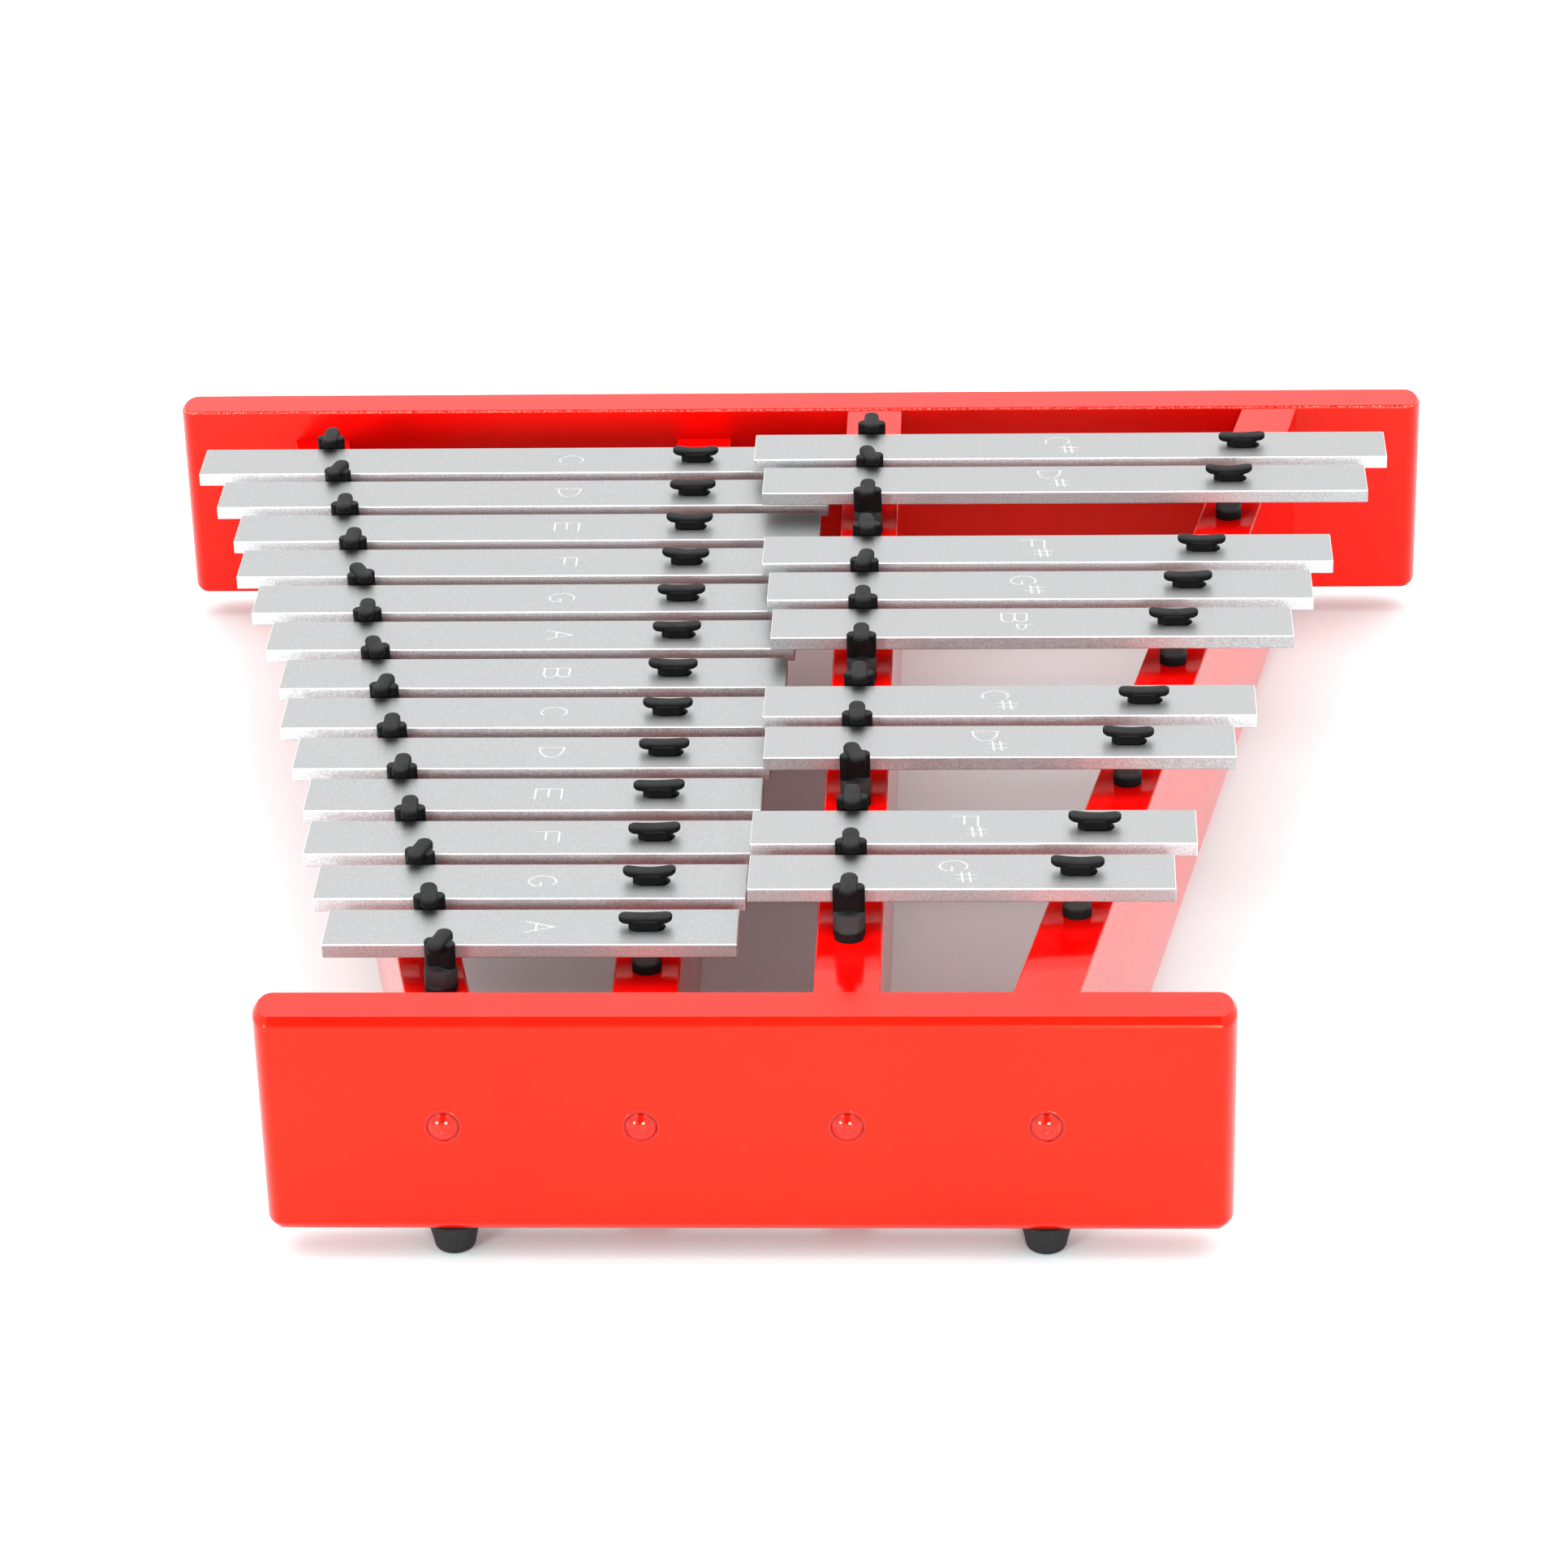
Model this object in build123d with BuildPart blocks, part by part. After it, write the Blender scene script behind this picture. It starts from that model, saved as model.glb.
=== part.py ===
from build123d import *
import os
from math import atan2, degrees, hypot

# A chromatic table glockenspiel: tuned aluminium bars held loosely by rubber posts
# and pins on four fanned rails between two end panels. Millimetres, +Z up, the long
# axis along Y with the low notes at +Y, the origin on the floor under the middle.

# ---- driving dimensions -------------------------------------------------------
BAR_PITCH = 21.0          # from one natural bar to the next, along Y
BAR_WIDTH = 16.0
BAR_THICK = 3.5
TOP_BAR_LENGTH = 94.0     # the highest note, A6; each semitone down is 2^(1/24) longer
NODE_SHARE = 0.222        # from a bar's end to its still line, as a share of its length
BAR_EDGE_R = 0.3

FEET_HEIGHT = 7.5
PANEL_HEIGHT = 55.5
PANEL_THICK = 12.5
LARGE_PANEL_WIDTH = 343.0
SMALL_PANEL_WIDTH = 218
PANEL_END_REACH = 4.0     # ends, seen from above: a flattened half round this deep
PANEL_EDGE_R = 1.3        # round-over all along the upper and lower edges

FIRST_BAR_TO_PANEL = 36.5  # centre line of the lowest bar to the large panel
LAST_BAR_TO_PANEL = 25.5   # centre line of the highest bar to the small panel

RAIL_WIDTH = 15.0
RAIL_EDGE_R = 0.9
RAIL_BOTTOM_GAP = 0.5     # the rails stop this far above the panels' lower edge
SHARP_RAIL_DROP = 0.5     # the sharps' rails stop this far below the panels' upper edge
SHARP_LIFT = 8.3          # the sharps' bars lie this far above the naturals'
RAIL_NEAR_X = {"natural_post": -67.4, "natural_pin": -23.2, "sharp_post": 22.8, "sharp_pin": 67.0}
RAIL_FAR_X = {"natural_post": -132.3, "natural_pin": -25.9, "sharp_post": 21.5, "sharp_pin": 129.8}
POST_SHIFT = {"natural_post": 1.2, "sharp_post": 0.0}   # posts off their rail's centre line
BAR_SHIFT = {"natural_pin": 0.2, "sharp_pin": 0.7}      # bars off their pins, in X

SEAT_HEIGHT = 7.1         # underside of a bar above its rails
POST_HEAD_GAP = 1.1       # a post's head above a bar's upper face
PIN_HEAD_GAP = 1.2        # a pin's head above it

# ---- rubber posts and pins ------------------------------------------------------
RUBBER_FOOT_WIDTH = 7.3
RUBBER_FOOT_LENGTH = 7.9
RUBBER_RIM_H = 2.5
LIP_REACH = 3.15          # each foot's raised lip, on which a bar's edge lies
LIP_FALL = 0.6            # the lip is this much lower at its sides than in the middle
BLOCK_WIDTH = 7.3
BLOCK_THICK = 3.1
BLOCK_ABOVE_BAR = 2.4
POST_HEAD_WIDTH = 3.9
POST_HEAD_LENGTH = 9.6
POST_HEAD_THICK = 2.3
STEM_WIDTH = 7.3
STEM_THICK = 3.5
PIN_HEAD_WIDTH = 12.1
PIN_HEAD_DEPTH = 3.4
PIN_HEAD_THICK = 2.0
PIN_HEAD_SAG = 0.8        # how far the head's ends stand above its middle
SLOT_LENGTH = 8.4
SLOT_WIDTH = 4.7
SLOT_SHIFT = 0.4          # the slot's middle lies right of the pin

# ---- fasteners and small fittings -----------------------------------------------
PANEL_SCREW_D = 4.0
PANEL_SCREW_IN_RAIL = 26.0
PANEL_SCREW_HEAD_D = 7.0
PANEL_SCREW_HEAD_H = 2.4
CAP_RECESS_D = 7.4
CAP_RECESS_DEPTH = 3.6
CAP_D = 7.2
CAP_RISE = 1.8
CAP_PLUG = 1.0
FOOT_TOP_D = 12.0
FOOT_BOTTOM_D = 9.4
FOOT_ROUND = 1.2
FOOT_RECESS_D = 5.6
FOOT_RECESS_DEPTH = 3.6
FOOT_SCREW_D = 3.0
FOOT_SCREW_HEAD_D = 5.4
FOOT_SCREW_HEAD_H = 2.0
FOOT_SCREW_IN_PANEL = 12.0
NAIL_D = 1.6
NAIL_IN_RAIL = 16.0
NAIL_IN_RUBBER = 5.0

# ---- note names, stamped into the bars --------------------------------------------
LETTER_HEIGHT = 6.3
LETTER_WIDTH = 4.9
SIGN_HEIGHT = 4.9
SIGN_WIDTH = 4.2
LETTER_SHIFT = (-2.5, 0)  # a letter that has a sharp or flat sign, left of the middle
SIGN_SHIFT = (2.5, 2.9)   # the sign, right of the middle and up
STROKE = 0.5
STAMP_DEPTH = 0.2
# Strokes within a box of -1 to 1: a line from one point to another, or an elliptical
# arc by its centre, its radii, its first angle and its sweep.
MARKS = {
    "A": (((-1, -1), (0, 1)), ((0, 1), (1, -1)), ((-0.6, -0.25), (0.6, -0.25))),
    "B": (
        ((-1, -1), (-1, 1)), ((-1, 1), (0.2, 1)), ((-1, 0.04), (0.2, 0.04)), ((-1, -1), (0.2, -1)),
        ((0.2, 0.54), (0.7, 0.46), -90, 180), ((0.2, -0.5), (0.8, 0.5), -90, 180),
    ),
    "C": (((0, 0), (1, 1), 50, 260),),
    "D": (((-1, -1), (-1, 1)), ((-1, 0), (2, 0.94), -90, 180)),
    "E": (((-1, -1), (-1, 1)), ((-1, 1), (1, 1)), ((-1, 0), (0.6, 0)), ((-1, -1), (1, -1))),
    "F": (((-1, -1), (-1, 1)), ((-1, 1), (1, 1)), ((-1, 0), (0.6, 0))),
    "G": (((0, 0), (1, 1), 50, 280), ((0.87, -0.5), (0.87, -0.1)), ((0.1, -0.1), (0.87, -0.1))),
    "#": (
        ((-0.45, -1), (-0.45, 1)), ((0.45, -1), (0.45, 1)),
        ((-1, -0.45), (1, -0.28)), ((-1, 0.28), (1, 0.45)),
    ),
    "b": (((-0.6, -1), (-0.6, 1)), ((-0.6, -0.42), (1.3, 0.48), -90, 180)),
}
NATURAL_LETTER_X = (-59.5, -47.5)   # on the lowest bar and on the highest
SHARP_LETTER_X = (72.5, 45.0)

# ---- levels -----------------------------------------------------------------------
panel_mid_z = FEET_HEIGHT + PANEL_HEIGHT / 2
panel_top = FEET_HEIGHT + PANEL_HEIGHT
rail_bottom = FEET_HEIGHT + RAIL_BOTTOM_GAP
sharp_rail_top = panel_top - SHARP_RAIL_DROP
natural_rail_top = sharp_rail_top - SHARP_LIFT
rail_top = {
    "natural_post": natural_rail_top,
    "natural_pin": natural_rail_top,
    "sharp_post": sharp_rail_top,
    "sharp_pin": sharp_rail_top,
}

# ---- notes: name, place in pitches from the lowest bar, semitones below A6, stamp ---
NATURAL_BARS = (
    ("bar_c5", 0, 21, "C"), ("bar_d5", 1, 19, "D"), ("bar_e5", 2, 17, "E"), ("bar_f5", 3, 16, "F"),
    ("bar_g5", 4, 14, "G"), ("bar_a5", 5, 12, "A"), ("bar_b5", 6, 10, "B"),
    ("bar_c6", 7, 9, "C"), ("bar_d6", 8, 7, "D"), ("bar_e6", 9, 5, "E"), ("bar_f6", 10, 4, "F"),
    ("bar_g6", 11, 2, "G"), ("bar_a6", 12, 0, "A"),
)
SHARP_BARS = (
    ("bar_c_sharp_5", 0.5, 20, "C#"), ("bar_d_sharp_5", 1.5, 18, "D#"),
    ("bar_f_sharp_5", 3.5, 15, "F#"), ("bar_g_sharp_5", 4.5, 13, "G#"), ("bar_b_flat_5", 5.5, 11, "Bb"),
    ("bar_c_sharp_6", 7.5, 8, "C#"), ("bar_d_sharp_6", 8.5, 6, "D#"),
    ("bar_f_sharp_6", 10.5, 3, "F#"), ("bar_g_sharp_6", 11.5, 1, "G#"),
)
# The posts stand between the bars. Each was nailed down by hand, so some are turned
# about their nail by these degrees.
NATURAL_POSTS = dict(zip(
    [slot - 0.5 for slot in range(14)],
    (0, -15, 0, 0, 28, 0, 15, -8, 0, 0, 5, -15, 5, -15)))
SHARP_POSTS = dict(zip(range(13), (0, 15, 0, 6, -12, 0, 0, 0, 0, 18, 0, 0, 0)))

last_slot = NATURAL_BARS[-1][1]
rail_length = FIRST_BAR_TO_PANEL + BAR_PITCH * last_slot + LAST_BAR_TO_PANEL
inner_face = rail_length / 2
outer_face = inner_face + PANEL_THICK
first_bar_y = inner_face - FIRST_BAR_TO_PANEL


def slot_y(slot):
    return first_bar_y - BAR_PITCH * slot


def rail_x(rail, y):
    """X of a rail's centre line at y."""
    near, far = RAIL_NEAR_X[rail], RAIL_FAR_X[rail]
    return near + (far - near) * (y + inner_face) / rail_length


def rubber_x(rail, y):
    """X of the rubber pieces that stand on a rail at y."""
    return rail_x(rail, y) + POST_SHIFT.get(rail, 0)


def save(piece, name):
    piece.part.label = name
    export_step(piece.part, f"parts/{name}.step")


os.makedirs("parts", exist_ok=True)


# ---- end panels: painted boards on edge; side is +1 for the large one, -1 for the small
def make_panel(name, side, width, rail_ends):
    mid_y = side * (inner_face + PANEL_THICK / 2)
    outside = Plane(origin=(0, side * outer_face, panel_mid_z), x_dir=(1, 0, 0), z_dir=(0, side, 0))
    screw_spots = [(x, 0) for x in rail_ends]
    foot_x = rail_ends[-1]
    with BuildPart() as panel:
        with BuildSketch(Plane(origin=(0, mid_y, FEET_HEIGHT))):
            flat = width - 2 * PANEL_END_REACH
            Rectangle(flat, PANEL_THICK)
            with Locations((-flat / 2, 0), (flat / 2, 0)):
                Ellipse(PANEL_END_REACH, PANEL_THICK / 2)
        extrude(amount=PANEL_HEIGHT)
        rims = panel.faces().filter_by(Axis.Z).edges()
        fillet(rims, PANEL_EDGE_R)
        with BuildSketch(outside):
            with Locations(*screw_spots):
                Circle(PANEL_SCREW_D / 2)
        extrude(amount=-PANEL_THICK, mode=Mode.SUBTRACT)
        with BuildSketch(outside):
            with Locations(*screw_spots):
                Circle(CAP_RECESS_D / 2)
        extrude(amount=-CAP_RECESS_DEPTH, mode=Mode.SUBTRACT)
        with BuildSketch(Plane(origin=(0, mid_y, FEET_HEIGHT))):
            with Locations((-foot_x, 0), (foot_x, 0)):
                Circle(FOOT_SCREW_D / 2)
        extrude(amount=FOOT_SCREW_IN_PANEL, mode=Mode.SUBTRACT)
    save(panel, name)


make_panel("large_end_panel", 1, LARGE_PANEL_WIDTH, list(RAIL_FAR_X.values()))
make_panel("small_end_panel", -1, SMALL_PANEL_WIDTH, list(RAIL_NEAR_X.values()))

# ---- rails: boards on edge, cut to the panels at both ends, drilled for screws and nails
post_spots = {
    "natural_post": [slot_y(slot) for slot in NATURAL_POSTS],
    "sharp_post": [slot_y(slot) for slot in SHARP_POSTS],
}
pin_spots = {
    "natural_pin": [slot_y(slot) for _, slot, _, _ in NATURAL_BARS],
    "sharp_pin": [slot_y(slot) for _, slot, _, _ in SHARP_BARS],
}
rubber_spots = {**post_spots, **pin_spots}

for rail in RAIL_NEAR_X:
    slope = (RAIL_FAR_X[rail] - RAIL_NEAR_X[rail]) / rail_length
    half_cut = RAIL_WIDTH / 2 * (1 + slope**2) ** 0.5
    near_x, far_x, top = RAIL_NEAR_X[rail], RAIL_FAR_X[rail], rail_top[rail]
    with BuildPart() as board:
        with BuildSketch(Plane.XY.offset(rail_bottom)):
            with BuildLine():
                Polyline(
                    (near_x - half_cut, -inner_face),
                    (near_x + half_cut, -inner_face),
                    (far_x + half_cut, inner_face),
                    (far_x - half_cut, inner_face),
                    close=True,
                )
            make_face()
        extrude(amount=top - rail_bottom)
        long_edges = [edge for edge in board.edges() if edge.length > rail_length - 1]
        fillet(long_edges, RAIL_EDGE_R)
        with BuildSketch(Plane.XY.offset(top)):
            with Locations(*[(rubber_x(rail, y), y) for y in rubber_spots[rail]]):
                Circle(NAIL_D / 2)
        extrude(amount=-NAIL_IN_RAIL, mode=Mode.SUBTRACT)
        for side, end_x in ((1, far_x), (-1, near_x)):
            with BuildSketch(Plane(origin=(end_x, side * inner_face, panel_mid_z),
                                   x_dir=(1, 0, 0), z_dir=(0, side, 0))):
                Circle(PANEL_SCREW_D / 2)
            extrude(amount=-PANEL_SCREW_IN_RAIL, mode=Mode.SUBTRACT)
    save(board, f"{rail}_rail")


# ---- bars: rounded flats with a slot for the pin and a stamped note name -------------
def stamp_mark(strokes, width, height, at):
    """One character drawn with a stroke of even width, centred at the point."""
    w, h = width / 2, height / 2
    with BuildSketch(Plane.XY) as mark:
        for first, second, *arc in strokes:
            if arc:
                start, sweep = arc
                centre = (at[0] + first[0] * w, at[1] + first[1] * h)
                rx, ry = second[0] * w, second[1] * h
                with BuildLine():
                    outer = EllipticalCenterArc(
                        centre, rx + STROKE / 2, ry + STROKE / 2, start, arc_size=sweep)
                    inner = EllipticalCenterArc(
                        centre, rx - STROKE / 2, ry - STROKE / 2, start, arc_size=sweep)
                    Line(outer @ 0, inner @ 0)
                    Line(outer @ 1, inner @ 1)
                make_face()
            else:
                dx, dy = (second[0] - first[0]) * w, (second[1] - first[1]) * h
                middle = (
                    at[0] + (first[0] + second[0]) / 2 * w,
                    at[1] + (first[1] + second[1]) / 2 * h,
                )
                past_ends = STROKE if dy else 0
                with Locations(Location((*middle, 0), (0, 0, degrees(atan2(dy, dx))))):
                    Rectangle(hypot(dx, dy) + past_ends, STROKE)
    return mark.sketch


def make_bar(name, slot, semitones, stamp, pin_rail, letter_x):
    """A bar whose right-hand still line lies over its pin rail."""
    length = TOP_BAR_LENGTH * 2 ** (semitones / 24)
    y = slot_y(slot)
    pin_x = rail_x(pin_rail, y)
    middle_x = pin_x + BAR_SHIFT[pin_rail] + (NODE_SHARE - 0.5) * length
    top = rail_top[pin_rail] + SEAT_HEIGHT + BAR_THICK
    reading = Plane(origin=(letter_x, y, top), x_dir=(0, -1, 0), z_dir=(0, 0, 1))
    with BuildPart() as bar:
        with Locations((middle_x, y, top - BAR_THICK / 2)):
            Box(length, BAR_WIDTH, BAR_THICK)
        fillet(bar.edges(), BAR_EDGE_R)
        with BuildSketch(Plane(origin=(pin_x + SLOT_SHIFT, y, top))):
            SlotOverall(SLOT_LENGTH, SLOT_WIDTH)
        extrude(amount=-BAR_THICK, mode=Mode.SUBTRACT)
        with BuildSketch(reading):
            if len(stamp) > 1:
                add(stamp_mark(MARKS[stamp[0]], LETTER_WIDTH, LETTER_HEIGHT, LETTER_SHIFT))
                add(stamp_mark(MARKS[stamp[1]], SIGN_WIDTH, SIGN_HEIGHT, SIGN_SHIFT))
            else:
                add(stamp_mark(MARKS[stamp], LETTER_WIDTH, LETTER_HEIGHT, (0, 0)))
        extrude(amount=-STAMP_DEPTH, mode=Mode.SUBTRACT)
    save(bar, name)


def along_bars(ends, slot):
    """A value that runs evenly from the lowest bar to the highest."""
    return ends[0] + (ends[1] - ends[0]) * slot / last_slot


for name, slot, semitones, stamp in NATURAL_BARS:
    make_bar(name, slot, semitones, stamp, "natural_pin", along_bars(NATURAL_LETTER_X, slot))
for name, slot, semitones, stamp in SHARP_BARS:
    make_bar(name, slot, semitones, stamp, "sharp_pin", along_bars(SHARP_LETTER_X, slot))

# ---- the rubber foot that posts and pins share, on a rail's upper face --------------
bar_top = SEAT_HEIGHT + BAR_THICK
foot_reach = RUBBER_FOOT_LENGTH / 2
with BuildPart() as rubber_foot:
    with BuildSketch(Plane.YZ):
        with BuildLine():
            Line((0, 0), (foot_reach, 0))
            Line((foot_reach, 0), (foot_reach, RUBBER_RIM_H))
            ThreePointArc(
                (foot_reach, RUBBER_RIM_H),
                (foot_reach - 0.62, RUBBER_RIM_H + 1.3),
                (LIP_REACH, SEAT_HEIGHT),
            )
            Line((LIP_REACH, SEAT_HEIGHT), (0, SEAT_HEIGHT))
            Line((0, SEAT_HEIGHT), (0, 0))
        make_face()
        mirror(about=Plane.YZ)
    extrude(amount=RUBBER_FOOT_WIDTH / 2, both=True)
    with BuildSketch(Plane.XY):
        SlotOverall(RUBBER_FOOT_LENGTH, RUBBER_FOOT_WIDTH, rotation=90)
    extrude(amount=SEAT_HEIGHT, mode=Mode.INTERSECT)
    with BuildSketch(Plane.XZ):
        half = RUBBER_FOOT_WIDTH / 2
        Polygon((-half, 0), (half, 0), (half, SEAT_HEIGHT - LIP_FALL), (0.4, SEAT_HEIGHT),
                (-0.4, SEAT_HEIGHT), (-half, SEAT_HEIGHT - LIP_FALL), align=None)
    extrude(amount=RUBBER_FOOT_LENGTH, both=True, mode=Mode.INTERSECT)

with BuildPart() as post_shape:
    add(rubber_foot.part)
    with BuildSketch(Plane.XY):
        Ellipse(BLOCK_WIDTH / 2, BLOCK_THICK / 2)
    extrude(amount=bar_top + BLOCK_ABOVE_BAR)
    with BuildSketch(Plane.XY.offset(bar_top + POST_HEAD_GAP)):
        SlotOverall(POST_HEAD_LENGTH, POST_HEAD_WIDTH, rotation=90)
    extrude(amount=POST_HEAD_THICK)
    fillet(post_shape.faces().sort_by(Axis.Z)[-1].edges(), 0.7)
    with BuildSketch(Plane.XY):
        Circle(NAIL_D / 2)
    extrude(amount=NAIL_IN_RUBBER, mode=Mode.SUBTRACT)

with BuildPart() as pin_shape:
    add(rubber_foot.part)
    with BuildSketch(Plane.XY):
        SlotOverall(STEM_WIDTH, STEM_THICK)
    extrude(amount=bar_top + PIN_HEAD_GAP + 0.6)
    with BuildSketch(Plane.XZ):
        with BuildLine():
            half = PIN_HEAD_WIDTH / 2
            low = bar_top + PIN_HEAD_GAP
            ThreePointArc((-half, low + PIN_HEAD_SAG), (0, low), (half, low + PIN_HEAD_SAG))
            Line((half, low + PIN_HEAD_SAG), (half, low + PIN_HEAD_SAG + PIN_HEAD_THICK))
            ThreePointArc(
                (half, low + PIN_HEAD_SAG + PIN_HEAD_THICK),
                (0, low + PIN_HEAD_THICK),
                (-half, low + PIN_HEAD_SAG + PIN_HEAD_THICK),
            )
            Line((-half, low + PIN_HEAD_SAG + PIN_HEAD_THICK), (-half, low + PIN_HEAD_SAG))
        make_face()
    extrude(amount=PIN_HEAD_DEPTH / 2, both=True)
    ends = pin_shape.edges().filter_by(Axis.Z).filter_by(lambda edge: abs(edge.center().X) > half - 0.1)
    fillet(ends, PIN_HEAD_DEPTH / 2 - 0.1)
    with BuildSketch(Plane.XY):
        Circle(NAIL_D / 2)
    extrude(amount=NAIL_IN_RUBBER, mode=Mode.SUBTRACT)


def make_group(name, shape, places):
    """Copies of one small piece as one node of separate solids."""
    with BuildPart() as group:
        with Locations(*places):
            add(shape.part)
    save(group, name)


for rail, posts in (("natural_post", NATURAL_POSTS), ("sharp_post", SHARP_POSTS)):
    make_group(f"{rail}s", post_shape, [
        Location((rubber_x(rail, slot_y(slot)), slot_y(slot), rail_top[rail]), (0, 0, turn))
        for slot, turn in posts.items()])
for rail, spots in pin_spots.items():
    make_group(f"{rail}s", pin_shape, [Location((rubber_x(rail, y), y, rail_top[rail])) for y in spots])

# ---- nails that hold the rubber pieces down -------------------------------------------
with BuildPart() as nail:
    with BuildSketch(Plane.XY.offset(-NAIL_IN_RAIL)):
        Circle(NAIL_D / 2)
    extrude(amount=NAIL_IN_RAIL + NAIL_IN_RUBBER)
for rail, spots in rubber_spots.items():
    make_group(f"{rail}_nails", nail, [Location((rubber_x(rail, y), y, rail_top[rail])) for y in spots])

# ---- screws through the panels into the rails, and the caps over their heads ----------
with BuildPart() as panel_screw:
    with BuildSketch(Plane.XY.offset(-CAP_RECESS_DEPTH)):
        Circle(PANEL_SCREW_HEAD_D / 2)
    extrude(amount=PANEL_SCREW_HEAD_H)
    fillet(panel_screw.faces().sort_by(Axis.Z)[-1].edges(), 0.8)
    with BuildSketch(Plane.XY.offset(-CAP_RECESS_DEPTH)):
        Circle(PANEL_SCREW_D / 2)
    extrude(amount=-(PANEL_THICK - CAP_RECESS_DEPTH + PANEL_SCREW_IN_RAIL))
dome_r = (CAP_D**2 / 4 + CAP_RISE**2) / (2 * CAP_RISE)
with BuildPart() as screw_cap:
    with BuildSketch(Plane.XY.offset(-CAP_PLUG)):
        Circle(CAP_D / 2)
    extrude(amount=CAP_PLUG + 2 * CAP_RISE)
    with Locations((0, 0, CAP_RISE - dome_r)):
        Sphere(dome_r, mode=Mode.INTERSECT)
for panel, side, rail_ends in (("large_panel", 1, RAIL_FAR_X), ("small_panel", -1, RAIL_NEAR_X)):
    outward = [
        Plane(origin=(x, side * outer_face, panel_mid_z), x_dir=(1, 0, 0), z_dir=(0, side, 0)).location
        for x in rail_ends.values()]
    make_group(f"{panel}_screws", panel_screw, outward)
    make_group(f"{panel}_screw_caps", screw_cap, outward)

# ---- feet and their screws --------------------------------------------------------------
with BuildPart() as foot_shape:
    with BuildSketch(Plane.XZ):
        with BuildLine():
            Line((FOOT_RECESS_D / 2, 0), (FOOT_BOTTOM_D / 2 - FOOT_ROUND, 0))
            ThreePointArc(
                (FOOT_BOTTOM_D / 2 - FOOT_ROUND, 0),
                (FOOT_BOTTOM_D / 2 - FOOT_ROUND * 0.3, FOOT_ROUND * 0.3),
                (FOOT_BOTTOM_D / 2, FOOT_ROUND),
            )
            Line((FOOT_BOTTOM_D / 2, FOOT_ROUND), (FOOT_TOP_D / 2, FEET_HEIGHT))
            Line((FOOT_TOP_D / 2, FEET_HEIGHT), (FOOT_SCREW_D / 2, FEET_HEIGHT))
            Line((FOOT_SCREW_D / 2, FEET_HEIGHT), (FOOT_SCREW_D / 2, FOOT_RECESS_DEPTH))
            Line((FOOT_SCREW_D / 2, FOOT_RECESS_DEPTH), (FOOT_RECESS_D / 2, FOOT_RECESS_DEPTH))
            Line((FOOT_RECESS_D / 2, FOOT_RECESS_DEPTH), (FOOT_RECESS_D / 2, 0))
        make_face()
    revolve(axis=Axis.Z)
with BuildPart() as foot_screw:
    with BuildSketch(Plane.XY.offset(FOOT_RECESS_DEPTH)):
        Circle(FOOT_SCREW_HEAD_D / 2)
    extrude(amount=-FOOT_SCREW_HEAD_H)
    with BuildSketch(Plane.XY.offset(FOOT_RECESS_DEPTH)):
        Circle(FOOT_SCREW_D / 2)
    extrude(amount=FEET_HEIGHT - FOOT_RECESS_DEPTH + FOOT_SCREW_IN_PANEL)

feet_y = inner_face + PANEL_THICK / 2
feet_places = {
    "foot_large_panel_left": (-RAIL_FAR_X["sharp_pin"], feet_y),
    "foot_large_panel_right": (RAIL_FAR_X["sharp_pin"], feet_y),
    "foot_small_panel_left": (-RAIL_NEAR_X["sharp_pin"], -feet_y),
    "foot_small_panel_right": (RAIL_NEAR_X["sharp_pin"], -feet_y),
}
for name, (x, y) in feet_places.items():
    make_group(name, foot_shape, [Location((x, y, 0))])
make_group("foot_screws", foot_screw, [Location((x, y, 0)) for x, y in feet_places.values()])
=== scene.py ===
import math
import random

import bmesh
import bpy
import numpy as np
from mathutils import Matrix, Vector


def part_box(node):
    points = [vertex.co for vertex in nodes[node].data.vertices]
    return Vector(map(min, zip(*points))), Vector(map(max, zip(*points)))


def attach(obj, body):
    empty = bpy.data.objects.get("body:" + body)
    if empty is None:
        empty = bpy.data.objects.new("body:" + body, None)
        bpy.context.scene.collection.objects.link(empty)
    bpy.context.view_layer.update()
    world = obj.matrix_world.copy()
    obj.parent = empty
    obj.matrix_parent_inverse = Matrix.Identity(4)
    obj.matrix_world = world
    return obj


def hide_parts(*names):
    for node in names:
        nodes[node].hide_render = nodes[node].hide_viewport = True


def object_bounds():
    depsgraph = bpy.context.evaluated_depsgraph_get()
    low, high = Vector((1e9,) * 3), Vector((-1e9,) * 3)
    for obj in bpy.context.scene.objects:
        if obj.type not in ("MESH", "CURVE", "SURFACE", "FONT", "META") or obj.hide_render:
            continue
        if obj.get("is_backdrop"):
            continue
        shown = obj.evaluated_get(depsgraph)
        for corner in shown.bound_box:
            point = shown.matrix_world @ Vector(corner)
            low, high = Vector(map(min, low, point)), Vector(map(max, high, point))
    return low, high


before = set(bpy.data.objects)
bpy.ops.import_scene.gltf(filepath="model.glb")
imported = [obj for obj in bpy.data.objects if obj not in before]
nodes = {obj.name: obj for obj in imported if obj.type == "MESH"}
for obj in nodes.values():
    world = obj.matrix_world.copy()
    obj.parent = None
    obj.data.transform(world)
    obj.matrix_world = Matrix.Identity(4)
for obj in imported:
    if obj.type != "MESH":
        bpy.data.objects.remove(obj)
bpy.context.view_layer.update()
MM = 0.001
TURN = 2 * math.pi
X, Y, Z = 0, 1, 2

# ---------------------------------------------------------------- mesh helpers


def walls(rows, count):
    """Quads between each ring of count points and the next."""
    return [(r * count + i, r * count + (i + 1) % count, (r + 1) * count + (i + 1) % count,
             (r + 1) * count + i) for r in range(rows - 1) for i in range(count)]


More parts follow.
